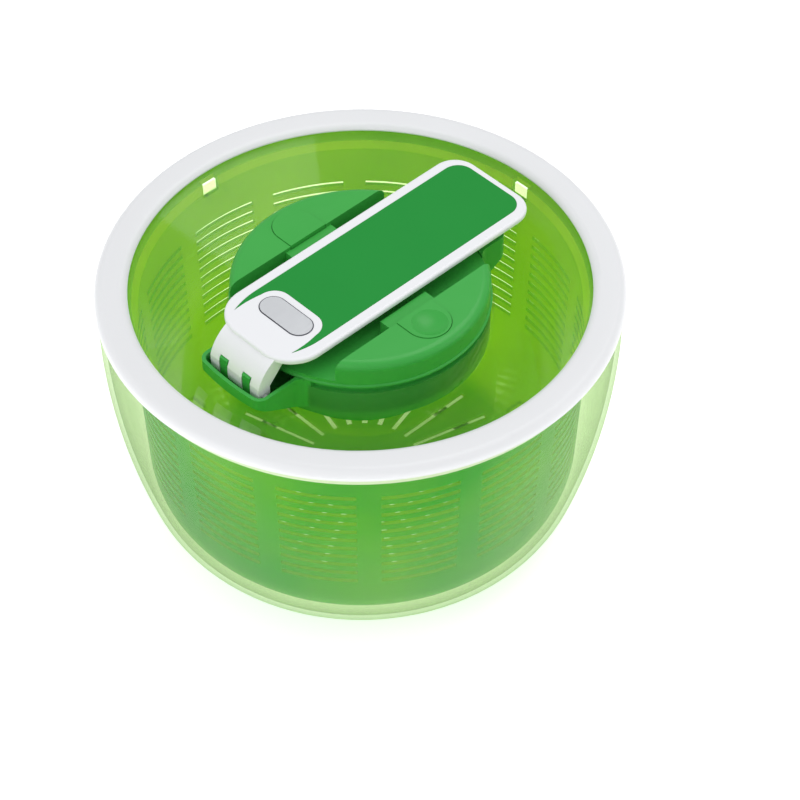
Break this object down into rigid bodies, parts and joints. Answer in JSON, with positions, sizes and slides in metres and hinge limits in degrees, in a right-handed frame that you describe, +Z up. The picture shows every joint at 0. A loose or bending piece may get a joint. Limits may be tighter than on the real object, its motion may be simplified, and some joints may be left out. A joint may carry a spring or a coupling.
{
  "type": "salad spinner",
  "caption": "Pump-lever salad spinner: clear bowl, slotted green basket on a pivot, white-rimmed clear lid with a green drive housing, lever, brake and release buttons.",
  "frame": {"origin": "centre of the non-slip ring's bottom face, on the surface the bowl stands on", "axes": "+Z up along the spin axis; +X runs along the parked lever from its hinge to its free end"},
  "size_m": [0.26, 0.26, 0.1563],
  "materials": {
    "clear_plastic": "clear glossy moulded plastic",
    "clear_cover": "clear glossy moulded plastic",
    "lime_plastic": "translucent lime green moulded plastic",
    "white_plastic": "smooth satin white moulded plastic",
    "green_plastic": "fine satin green moulded plastic",
    "green_grip": "fine matte green soft-touch inlay",
    "grey_rubber": "matte pale grey rubber",
    "dark_rubber": "matte black rubber",
    "badge_metal": "brushed silver plate, blank",
    "steel": "plain bright steel",
    "spring_steel": "drawn spring steel wire",
    "gear_plastic": "natural acetal",
    "bush_plastic": "dark filled nylon"
  },
  "bodies": {
    "bowl": {"bowl": "clear_plastic", "non_slip_ring": "grey_rubber"},
    "basket": {"basket": "lime_plastic"},
    "lid": {"lid_ring": "white_plastic", "lid_panel": "clear_cover", "drive_base": "green_plastic", "drive_cover": "green_plastic", "housing_screws": "steel", "hinge_pin": "steel", "gear_bridge": "gear_plastic", "cross_pin": "steel", "idler_pin": "steel", "spindle_bush": "bush_plastic", "release_spring": "spring_steel", "brake_spring": "spring_steel", "lever_spring": "spring_steel"},
    "rotor": {"basket_cover": "clear_cover", "output_shaft": "steel", "ratchet_cup": "gear_plastic", "cover_screw": "steel"},
    "lever": {"lever_frame": "white_plastic", "lever_grip": "green_grip", "badge_plate": "badge_metal", "sector_gear": "gear_plastic", "sector_screws": "steel"},
    "crown": {"crown_gear": "gear_plastic"},
    "idler": {"idler_gear": "gear_plastic"},
    "driver": {"drive_pinion": "gear_plastic", "pawl_front": "gear_plastic", "pawl_back": "gear_plastic"},
    "brake": {"brake_button": "green_plastic", "brake_pad": "dark_rubber"},
    "release": {"release_button": "green_plastic"},
    "latch": {"latch_slide": "gear_plastic"}
  },
  "joints": [
    {"name": "basket_spin", "type": "hinge", "parent": "bowl", "child": "basket", "pos_m": [0, 0, 0.0172], "axis": [0, 0, 1], "continuous": true},
    {"name": "lid_lift", "type": "slide", "parent": "bowl", "child": "lid", "axis": [0, 0, 1], "range_m": [0, 0.2]},
    {"name": "cover_spin", "type": "hinge", "parent": "lid", "child": "rotor", "pos_m": [0, 0, 0.1], "axis": [0, 0, 1], "continuous": true},
    {"name": "lever_hinge", "type": "hinge", "parent": "lid", "child": "lever", "pos_m": [-0.079, 0, 0.135], "axis": [0, -1, 0], "range_deg": [0, 24], "deforming": ["lever_spring"]},
    {"name": "crown_spin", "type": "hinge", "parent": "lid", "child": "crown", "pos_m": [-0.02576, 0, 0.12595], "axis": [0, 1, 0], "range_deg": [-1, 193]},
    {"name": "idler_spin", "type": "hinge", "parent": "lid", "child": "idler", "pos_m": [-0.02576, -0.0035, 0.1], "axis": [0, 0, 1], "range_deg": [-2, 386]},
    {"name": "driver_spin", "type": "hinge", "parent": "lid", "child": "driver", "pos_m": [0, 0, 0.1], "axis": [0, 0, 1], "range_deg": [-1047.29, 5]},
    {"name": "brake_press", "type": "slide", "parent": "lid", "child": "brake", "axis": [0, 0, -1], "range_m": [0, 0.0035], "stiffness_N_per_m": 400, "springref_m": -0.001, "deforming": ["brake_spring"]},
    {"name": "release_press", "type": "slide", "parent": "lid", "child": "release", "axis": [0, 0, -1], "range_m": [0, 0.003], "stiffness_N_per_m": 400, "springref_m": -0.001, "deforming": ["release_spring"]},
    {"name": "latch_slide", "type": "slide", "parent": "lid", "child": "latch", "axis": [-1, 0, 0], "range_m": [-0.0001, 0.0031]}
  ],
  "couplings": [
    {"joint": "cover_spin", "follows": "basket_spin", "ratio": 1},
    {"joint": "crown_spin", "follows": "lever_hinge", "ratio": 8},
    {"joint": "idler_spin", "follows": "lever_hinge", "ratio": 16},
    {"joint": "driver_spin", "follows": "lever_hinge", "ratio": -43.429},
    {"joint": "latch_slide", "follows": "release_press", "ratio": 1}
  ]
}
